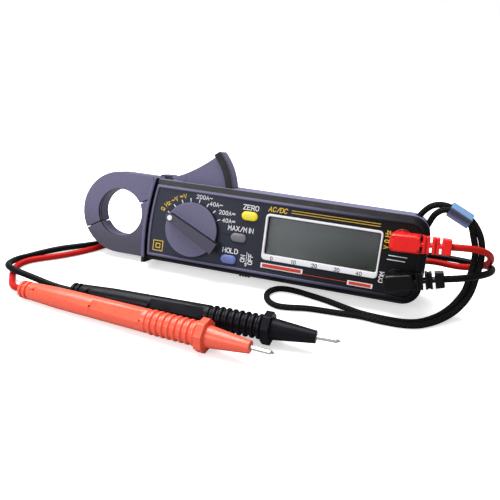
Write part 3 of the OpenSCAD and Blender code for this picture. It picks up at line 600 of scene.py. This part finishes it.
def makeStrap(facts):
    run = np.array(facts["run"]) / np.linalg.norm(facts["run"])
    slider = np.array(facts["slider"])
    inside = [slider + facts["reach"] * k * run for k in (-1, 0, 1)]
    middle = np.vstack(inside + [np.array(strapMiddle)])
    t = np.gradient(middle, axis=0)
    # across the pair: level on the floor and in the slider, in the plane of the arch between
    z = middle[:, 2]
    lifted = np.clip((z - facts["floorTop"]) / facts["rise"], 0, 1)
    h = np.minimum(lifted, np.maximum((facts["archTop"] - z) / facts["fall"], facts["least"]))
    h = h[:, None]
    across = np.cross(t, np.hstack([0 * h, -h, 1 - h]))
    across /= np.linalg.norm(across, axis=1)[:, None]
    one, two = middle - facts["gap"] * across, middle + facts["gap"] * across
    holeIn, holeOut = (toRow(facts[key]) / mm for key in ("holeIn", "holeOut"))
    line = np.vstack([holeIn, strapUp, one, strapLoop, two[::-1], strapDown, holeOut])
    line = smoothed(evenly(catmull(line, facts["curveSteps"]), facts["spacing"]), facts["rounds"])
    line[:, 2] = np.maximum(line[:, 2], facts["diameter"] / 2)
    line *= mm
    made = link("strapCord", tube("strapCord", line, facts["diameter"] / 2 * mm, facts["sides"],
                                  facts["uvScale"]), "meter", "braid")
    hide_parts("strap")
    long = np.linalg.norm(np.diff(line, axis=0), axis=1).sum()
    print(f"strapCord: {long:.3f} m")


makeStrap(strapFacts)
print("stage: cords")

# CAD nodes: which finish each takes, and how far its edges are rounded, in millimetres
finishes = {
    "front_cover": ("casing", "casing", 0.5), "rear_cover": ("casingBack", "casing", 0.1),
    "battery_door": ("casingBack", "casing", 0.15), "fixed_jaw": ("jaw", "casing", 0.45),
    "jaw_lever": ("lever", "casing", 0.45), "panel_overlay": ("panel", "panel_film", 0),
    "display_bezel": ("white", "bezel_white", 0.3), "display_window": ("window", "window", 0),
    "lcd_panel": ("lcd", "lcd", 0), "lcd_holder": ("natural", "natural_plastic", 0),
    "circuit_board": ("board", "board", 0), "button_mat": ("rubberMat", "mat_rubber", 0),
    "buzzer": ("black", "black_plastic", 0), "hall_sensor": ("black", "black_plastic", 0),
    "battery_a": ("cell", "cell", 0), "battery_b": ("cell", "cell", 0),
    "battery_contacts": ("steelAcross", "steel", 0), "battery_screw": ("steelAcross", "steel", 0),
    "case_screws": ("steelAcross", "steel", 0), "strap_post": ("steelAcross", "steel", 0),
    "pivot_pin": ("steelAcross", "steel", 0), "return_spring": ("steelAcross", "steel", 0),
    "detent_ball": ("steelAcross", "steel", 0), "detent_spring": ("steelAcross", "steel", 0),
    "fixed_core": ("ferrite", "ferrite", 0), "moving_core": ("ferrite", "ferrite", 0),
    "range_dial": ("dial", "dial", 0.35), "dial_hub": ("dial", "dial", 0),
    "dial_pointer": ("whiteInk", "white_mark", 0), "wiper_disc": ("brass", "brass", 0),
    "socket_contacts": ("brass", "brass", 0),
    "power_switch": ("black", "black_plastic", 0), "power_slider": ("black", "black_plastic", 0.2),
    "red_socket": ("socketRed", "plug_red", 0.2), "black_socket": ("black", "plug_black", 0.2),
    "red_plug": ("plugRed", "plug_red", 0.5), "black_plug": ("plugBlack", "plug_black", 0.5),
    "red_pin": ("steelAcross", "steel", 0), "black_pin": ("steelAcross", "steel", 0),
    "red_tie": ("black", "black_plastic", 0.2), "black_tie": ("black", "black_plastic", 0.2),
    "red_probe": ("probeRed", "probe_red", 0.3), "black_probe": ("probeBlack", "probe_black", 0.3),
    "red_tip": ("steel", "steel", 0.1), "black_tip": ("steel", "steel", 0.1),
    "strap_slider": ("sliderBlue", "slider_blue", 0.5),
}


def finishNode(node, material, width):
    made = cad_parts[node]
    made.data.materials.clear()
    made.data.materials.append(look[material])
    weld = made.modifiers.new("weld", "WELD")
    weld.merge_threshold = 2e-6
    if width:
        bevel = made.modifiers.new("bevel", "BEVEL")
        bevel.width, bevel.segments = width * mm, 3
        bevel.limit_method, bevel.angle_limit = "ANGLE", math.radians(28)
        bevel.use_clamp_overlap = False
        bevel.miter_outer = "MITER_ARC"
        made.data.polygons.foreach_set("use_smooth", np.full(len(made.data.polygons), True))
        normals = made.modifiers.new("normals", "WEIGHTED_NORMAL")
        normals.keep_sharp, normals.weight = True, 80


for node, (material, slot, width) in finishes.items():
    finishNode(node, material, width)
print("stage: carried-over nodes")

# Push buttons: caps with a crowned top
keyFacts = {
    "length": 8.4, "width": 4.6, "front": -0.3, "back": 2.2, "crown": 1.1, "flat": 0.12,
    "around": 48, "rows": 10,
    "keys": {"zeroKey": ("zero_button", "zero_key", (4.5, 9.6), "keyYellow", "key_yellow"),
             "minmaxKey": ("minmax_button", "minmax_key", (0, -2.1), "keyGrey", "key_grey"),
             "holdKey": ("hold_button", "hold_key", (-4, -13.9), "keyBlue", "key_blue")},
}


def keyCap(name, centre, facts):
    # rings of radius q round a short spine; with f the flat share of the full radius R, the crown
    # from q = f R to q = R follows ((q - f R) / (R - f R))^3 + (1 - (y - front) / crown)^3 = 1,
    # and the side runs straight back from it
    radius, spine = facts["width"] / 2, (facts["length"] - facts["width"]) / 2
    a, flat = np.linspace(0, math.pi / 2, facts["rows"]), facts["flat"]
    q = np.r_[radius, radius * (np.cos(a) ** (2 / 3) * (1 - flat) + flat)]
    y = np.r_[facts["back"], facts["front"] + facts["crown"] * (1 - np.sin(a) ** (2 / 3))]
    turn = (np.arange(facts["around"]) + 0.5) / facts["around"] * math.tau
    x = centre[0] + np.sign(np.cos(turn)) * spine + q[:, None] * np.cos(turn)
    z = centre[1] + q[:, None] * np.sin(turn)
    grid = np.stack([x, np.broadcast_to(y[:, None], x.shape), z], -1)
    rows, n = x.shape
    i, j = np.meshgrid(np.arange(rows - 1), np.arange(n), indexing="ij")
    k = (j + 1) % n
    quads = np.stack([i * n + j, i * n + k, (i + 1) * n + k, (i + 1) * n + j], -1).reshape(-1, 4)
    faces = quads.tolist() + [list(range(n)), list(range((rows - 1) * n, rows * n))]
    return meshOf(name, toRow(grid.reshape(-1, 3)), faces, True)


for name, (node, body, centre, material, slot) in keyFacts["keys"].items():
    cap = link(name, keyCap(name, centre, keyFacts), body, material)
    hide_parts(node)
print("stage: keys")

# Printed marks: generic unit signs, numbers and key names as thin raised strokes
glyphs = {
    "A": [[(0, 0), (2, 6), (4, 0)], [(0.8, 2), (3.2, 2)]],
    "C": [[(3.8, 4.8), (2.8, 6), (1.2, 6), (0, 4.7), (0, 1.3), (1.2, 0), (2.8, 0), (3.8, 1.2)]],
    "D": [[(0, 0), (0, 6), (2.4, 6), (4, 4.6), (4, 1.4), (2.4, 0), (0, 0)]],
    "E": [[(3.8, 0), (0, 0), (0, 6), (3.8, 6)], [(0, 3.1), (3.2, 3.1)]],
    "F": [[(0, 0), (0, 6), (3.8, 6)], [(0, 3.1), (3.2, 3.1)]],
    "H": [[(0, 0), (0, 6)], [(4, 0), (4, 6)], [(0, 3), (4, 3)]],
    "I": [[(2, 0), (2, 6)]],
    "L": [[(0, 6), (0, 0), (3.6, 0)]],
    "M": [[(0, 0), (0, 6), (2, 2.4), (4, 6), (4, 0)]],
    "N": [[(0, 0), (0, 6), (4, 0), (4, 6)]],
    "O": [[(1.3, 0), (0, 1.4), (0, 4.6), (1.3, 6), (2.7, 6), (4, 4.6), (4, 1.4), (2.7, 0), (1.3, 0)]],
    "P": [[(0, 0), (0, 6), (2.8, 6), (4, 5.2), (4, 3.6), (2.8, 2.8), (0, 2.8)]],
    "R": [[(0, 0), (0, 6), (2.8, 6), (4, 5.2), (4, 3.6), (2.8, 2.8), (0, 2.8)], [(2, 2.8), (4, 0)]],
    "T": [[(2, 0), (2, 6)], [(0, 6), (4, 6)]],
    "V": [[(0, 6), (2, 0), (4, 6)]],
    "X": [[(0, 0), (4, 6)], [(0, 6), (4, 0)]],
    "Z": [[(0, 6), (4, 6), (0, 0), (4, 0)]],
    "z": [[(0, 4), (2.8, 4), (0, 0), (2.8, 0)]],
    "/": [[(0.4, 0), (3.2, 6)]],
    "0": [[(1.3, 0), (0.3, 1.4), (0.3, 4.6), (1.3, 6), (2.7, 6), (3.7, 4.6), (3.7, 1.4), (2.7, 0),
           (1.3, 0)]],
    "1": [[(0.8, 4.8), (2.2, 6), (2.2, 0)]],
    "2": [[(0.2, 4.8), (1.2, 6), (2.8, 6), (3.8, 4.9), (3.8, 3.9), (0.1, 0), (4, 0)]],
    "3": [[(0.2, 5.2), (1.2, 6), (2.8, 6), (3.8, 5.2), (3.8, 3.9), (2.6, 3.1), (4, 2.1), (4, 0.9),
           (3, 0), (1, 0), (0, 0.9)]],
    "4": [[(3, 0), (3, 6), (0, 1.8), (4, 1.8)]],
    "ohm": [[(0, 0), (1.4, 0), (0.2, 2.4), (0.3, 4.8), (1.4, 6), (2.6, 6), (3.7, 4.8), (3.8, 2.4),
             (2.6, 0), (4, 0)]],
    "ac": [[(0, 2.4), (0.9, 3.6), (1.7, 3.6), (2.9, 2.4), (3.7, 2.4), (4.6, 3.6)]],
    "dc": [[(0, 3.8), (4.6, 3.8)], [(0, 2.2), (1.1, 2.2)], [(1.8, 2.2), (2.9, 2.2)],
           [(3.5, 2.2), (4.6, 2.2)]],
}
glyphHeight, glyphGap, usualPitch = 6, 1.4, 5.5
glyphPitch = {"I": 3.4, "1": 4.6, "z": 4.2, " ": 3.2, "/": 4.6, "ac": 6.4, "dc": 6.4, "M": 5.6}


def writing(signs, at, height, turn=0, slant=0.0):
    # strokes of a row of signs centred on a point of the panel
    scale = height / glyphHeight
    x, rows = 0.0, []
    for sign in signs:
        for stroke in glyphs.get(sign, ()):
            rows.append(np.array(stroke, float) + (x, 0))
        x += glyphPitch.get(sign, usualPitch)
    middle = ((x - glyphGap) / 2, glyphHeight / 2)
    a = math.radians(turn)
    spin = np.array([[math.cos(a), math.sin(a)], [-math.sin(a), math.cos(a)]])
    moved = [(row - middle) * scale for row in rows]
    moved = [row + np.stack([slant * row[:, 1], 0 * row[:, 1]], 1) for row in moved]
    return [row @ spin + np.array(at) for row in moved]


def strokeMesh(name, strokes, front, back, sharpest=0.5):
    # each (line, width) becomes a closed mitred bar between two depths: its sides stand off the
    # line square to the mean of the two directions that meet there, by half the width over the
    # cosine of half the bend, held at sharpest or more
    points, faces, base = [], [], 0
    for line, width in strokes:
        p = np.asarray(line, float)
        closed = len(p) > 2 and np.allclose(p[0], p[-1])
        p = p[:-1] if closed else p
        after = np.roll(p, -1, 0) - p
        after /= np.linalg.norm(after, axis=1)[:, None]
        before = np.roll(after, 1, 0)
        if not closed:
            after[-1], before[0] = before[-1], after[0]
        mid = after + before
        mid /= np.linalg.norm(mid, axis=1)[:, None]
        stretch = 1 / np.clip((mid * after).sum(1), sharpest, 1)
        side = np.stack([-mid[:, 1], mid[:, 0]], 1) * (stretch * width / 2)[:, None]
        if not closed:
            p = p.copy()
            p[0] -= after[0] * width / 2
            p[-1] += after[-1] * width / 2
        n = len(p)
        ring = [(p + side, front), (p - side, front), (p - side, back), (p + side, back)]
        flat = [np.stack([q[:, 0], np.full(n, y), q[:, 1]], 1) for q, y in ring]
        points.append(np.stack(flat, 1).reshape(-1, 3))
        i, k = np.meshgrid(np.arange(n if closed else n - 1), np.arange(4), indexing="ij")
        j, m = (i + 1) % n, (k + 1) % 4
        quads = np.stack([4 * i + k, 4 * i + m, 4 * j + m, 4 * j + k], -1).reshape(-1, 4)
        if not closed:
            quads = np.vstack([quads, [3, 2, 1, 0], 4 * (n - 1) + np.arange(4)])
        faces += (base + quads).tolist()
        base += 4 * n
    return meshOf(name, toRow(np.vstack(points)), faces)


def polar(angle, radius, centre=(-25, -1.7)):
    a = math.radians(angle)
    return np.array(centre) + radius * np.array([math.cos(a), math.sin(a)])


printFacts = {
    "front": 0.6, "back": 0.72, "step": 0.1, "pen": 0.38, "finePen": 0.3, "signPen": 0.36,
    "boldPen": 0.4, "keyText": 2.3, "rangeText": 1.9, "smallText": 2.1, "signText": 2.0,
    "tick": (14.5, 15.9), "tickPen": 0.45, "firstTick": 153, "tickTurn": 18, "ticks": 8,
    "ranges": [(["2", "0", "0", "A", "ac"], (-20.2, 15.5)), (["4", "0", "A", "ac"], (-13.6, 12.8)),
               (["2", "0", "0", "A", "dc"], (-7.4, 9.4)), (["4", "0", "A", "dc"], (-6.1, 5.6))],
    "words": [("ZERO", (4.7, 13.9)), ("MAX/MIN", (0.7, 2.4)), ("HOLD", (-3.5, -9.3))],
    "power": [("ON", (3.4, -12.2)), ("OFF", (7.5, -12.0))],
    "arrow": [([(5.4, -8.8), (5.4, -14.6)], 0.25),
              ([(4.9, -14.6), (5.4, -15.9), (5.9, -14.6), (4.9, -14.6)], 0.3)],
    "signs": [(["ohm"], (-42.2, 6.6), 64), ("Hz", (-39.8, 9.6), 44),
              (["ac", "V"], (-36.2, 12.2), 30), (["dc", "V"], (-31.7, 14.5), 12)],
    "plates": [([(14.4, -13.8), (33.4, -13.8)], 2.5), ([(58.2, -15.0), (68.2, -15.0)], 2.2),
               ([(74.6, 1.4), (83, 1.4)], 0.4), ([(74.2, -0.6), (82.4, -0.6)], 0.4)],
    "redBars": [([(14.8, -13.8), (33, -13.8)], 1.7), ([(34, -14.9), (57, -14.9)], 0.22),
                ([(58.6, -15.0), (67.8, -15.0)], 1.5)],
    "common": ("COM", (72.7, -9.7)), "live": (["V", " ", "ohm", " ", "H", "z"], (72.7, 8.6)),
    "headWord": ("AC/DC", (18.6, 14.8)), "headText": 2.2, "headSlant": 0.2,
    "headLines": (25.5, 68.6, (14.3, 15.5), 0.28),
    "double": ((-43, -13), (2.6, 1.1), 0.42),
    "scaleAt": (18.3, 29.5, 40.1, 51.2, 62), "scaleDrop": -9.7, "scaleText": 1.7,
    "scaleDepths": (0.22, 0.34),
}


def squareLine(centre, half):
    # a closed square of that half side round a point of the panel
    corners = [(-1, -1), (1, -1), (1, 1), (-1, 1), (-1, -1)]
    return [(centre[0] + half * x, centre[1] + half * z) for x, z in corners]


def makePrint(facts):
    pen, fine, bold, small = (facts[key] for key in ("pen", "finePen", "boldPen", "smallText"))
    white, yellow = [], []
    for k in range(facts["ticks"]):
        angle = facts["firstTick"] - facts["tickTurn"] * k
        white.append(([polar(angle, r) for r in facts["tick"]], facts["tickPen"]))
    for signs, at in facts["ranges"]:
        white += [(s, fine) for s in writing(signs, at, facts["rangeText"])]
    for word, at in facts["words"]:
        white += [(s, pen) for s in writing(word, at, facts["keyText"])]
    for word, at in facts["power"]:
        white += [(s, pen) for s in writing(word, at, small, 90)]
    white += facts["arrow"]
    white += [(s, pen) for s in writing(*facts["common"], facts["signText"], 90)]
    white += facts["plates"]
    for signs, at, turn in facts["signs"]:
        yellow += [(s, facts["signPen"]) for s in writing(signs, at, facts["signText"], turn)]
    yellow += [(s, bold) for s in writing(*facts["headWord"], facts["headText"], 0,
                                          facts["headSlant"])]
    start, end, heights, width = facts["headLines"]
    yellow += [([(start, z), (end, z)], width) for z in heights]
    yellow += [(s, bold) for s in writing(*facts["live"], facts["signText"], 90)]
    centre, halves, width = facts["double"]
    yellow += [(squareLine(centre, half), width) for half in halves]
    numbers = [(s, fine) for k, x in enumerate(facts["scaleAt"])
               for s in writing(str(10 * k), (x, facts["scaleDrop"]), facts["scaleText"])]
    front, back = facts["front"], facts["back"]
    for name, strokes, depths, material, slot in (
            ("whiteMarks", white, (front, back), "whiteInk", "white_mark"),
            ("yellowMarks", yellow, (front, back), "yellowInk", "key_yellow"),
            ("scaleNumbers", numbers, facts["scaleDepths"], "blackInk", "panel_film"),
            ("accentLine", facts["redBars"], (front - facts["step"], back), "redInk", "plug_red")):
        link(name, strokeMesh(name, strokes, *depths), "meter", material)


makePrint(printFacts)
print("stage: printed marks")

# Floor, backdrop and light
stageFacts = {"floorSize": 6, "floorColor": (0.90, 0.90, 0.91), "bounceColor": (0.42, 0.42, 0.43),
              "glowNear": 0.52, "glowFar": 1.0, "skyShown": 1.0, "skyStrength": 0.42}


def makeStage(facts):
    size = facts["floorSize"] / 2
    mesh = meshOf("floor", [(-size, -size, 0), (size, -size, 0), (size, size, 0), (-size, size, 0)],
                  [(0, 1, 2, 3)])
    floor = bpy.data.objects.new("floor", mesh)
    bpy.context.scene.collection.objects.link(floor)
    # white paper that glows for the camera, less near the object, a painted glow that lifts its
    # shadow; it lights the object less than it shows, and blends into the backdrop
    material, tree, shader = newMaterial("floorPaper")
    place = tree.nodes.new("ShaderNodeTexCoord").outputs["Object"]
    seen = tree.nodes.new("ShaderNodeLightPath").outputs["Is Camera Ray"]
    far = put(tree, "ShaderNodeVectorMath", {0: place}, operation="LENGTH").outputs["Value"]
    paper = blendOf(tree, ramp(tree, noise(tree, place, 3.0), 0.3, 0.7, 0, 0.15),
                    facts["floorColor"], tuple(0.98 * c for c in facts["floorColor"]))
    glow = ramp(tree, far, 0.25, 0.7, facts["glowNear"], facts["glowFar"])
    feed(tree, shader, {"Base Color": blendOf(tree, seen, facts["bounceColor"], paper),
                        "Roughness": 0.8, "Specular IOR Level": 0.0,
                        "Emission Color": (1, 1, 1, 1),
                        "Emission Strength": maths(tree, "MULTIPLY", seen, glow)})
    mesh.materials.append(material)
    world = bpy.data.worlds.new("studio")
    bpy.context.scene.world = world
    world.use_nodes = True
    sky = world.node_tree
    shown = sky.nodes.new("ShaderNodeLightPath").outputs["Is Camera Ray"]
    sky.nodes["Background"].inputs[0].default_value = (1, 1, 1, 1)
    sky.links.new(ramp(sky, shown, 0, 1, facts["skyStrength"], facts["skyShown"]),
                  sky.nodes["Background"].inputs[1])


def areaLight(name, place, target, size, power):
    data = bpy.data.lights.new(name, "AREA")
    data.shape, data.size, data.size_y, data.energy = "RECTANGLE", size[0], size[1], power
    made = bpy.data.objects.new(name, data)
    bpy.context.scene.collection.objects.link(made)
    made.location = place
    made.rotation_euler = (Vector(target) - Vector(place)).to_track_quat("-Z", "Y").to_euler()


lights = {
    "topSoftbox": ((-0.30, 0.12, 0.85), (0, 0, 0), (0.7, 0.7), 14.0),
    "frontFill": ((-0.45, -0.85, 0.5), (0, 0, 0.02), (0.5, 0.4), 4.0),
}
makeStage(stageFacts)
for name, (place, target, size, power) in lights.items():
    areaLight(name, place, target, size, power)
bpy.context.scene.view_settings.view_transform = "Standard"
print("stage: floor and light")
